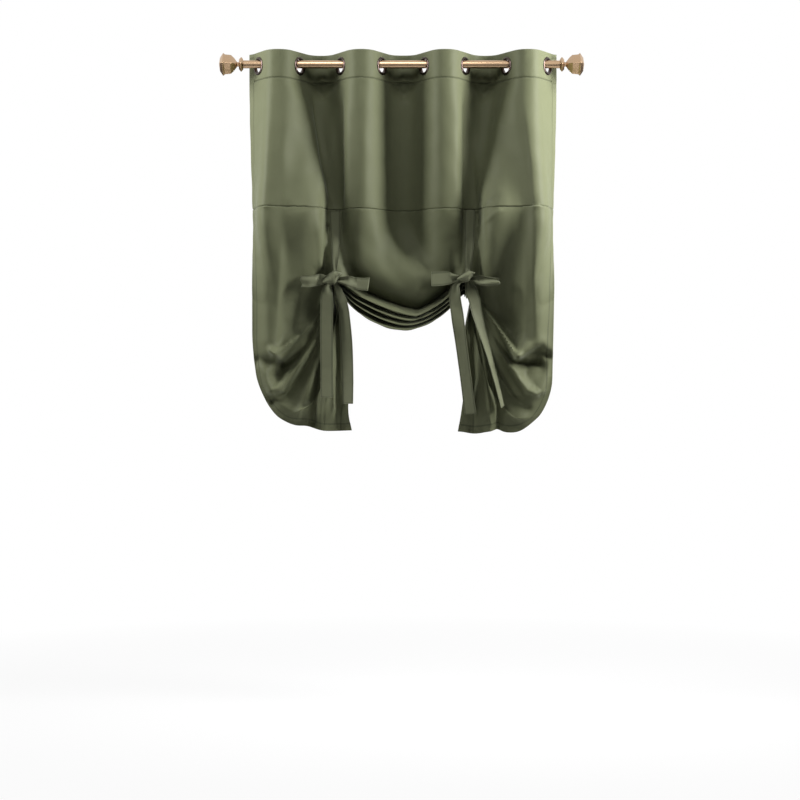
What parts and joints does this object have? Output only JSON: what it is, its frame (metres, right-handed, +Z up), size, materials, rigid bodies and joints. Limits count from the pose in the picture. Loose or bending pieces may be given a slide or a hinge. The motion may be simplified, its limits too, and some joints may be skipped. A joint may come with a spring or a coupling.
{
  "type": "tie-up window curtain on a rod",
  "caption": "Grommet-top window curtain on a round rod with square finials, its lower cloth gathered up by tied ribbons into a swag between two tails.",
  "frame": {"origin": "The middle of the rod's axis.", "axes": "+Z is up, +X runs along the rod to the right as seen from the room, and the room is on the -Y side."},
  "size_m": [1.1694, 0.1779, 1.2145],
  "materials": {
    "rod_metal": "satin champagne bronze plating",
    "ring_metal": "polished dark gunmetal plating",
    "cloth": "smooth tightly woven sage green cloth with a faint sheen",
    "stiffener": "plain white non-woven strip"
  },
  "bodies": {
    "root": {"rod": "rod_metal", "finial_left": "rod_metal", "finial_right": "rod_metal", "finial_collar_left": "rod_metal", "finial_collar_right": "rod_metal", "grommet_1_front": "ring_metal", "grommet_1_back": "ring_metal", "grommet_2_front": "ring_metal", "grommet_2_back": "ring_metal", "grommet_3_front": "ring_metal", "grommet_3_back": "ring_metal", "grommet_4_front": "ring_metal", "grommet_4_back": "ring_metal", "grommet_5_front": "ring_metal", "grommet_5_back": "ring_metal", "grommet_6_front": "ring_metal", "grommet_6_back": "ring_metal", "grommet_7_front": "ring_metal", "grommet_7_back": "ring_metal", "grommet_8_front": "ring_metal", "grommet_8_back": "ring_metal", "upper_panel": "cloth", "lower_panel": "cloth", "header_stiffener": "stiffener", "left_tie_front": "cloth", "left_tie_back": "cloth", "right_tie_front": "cloth", "right_tie_back": "cloth"}
  },
  "joints": []
}
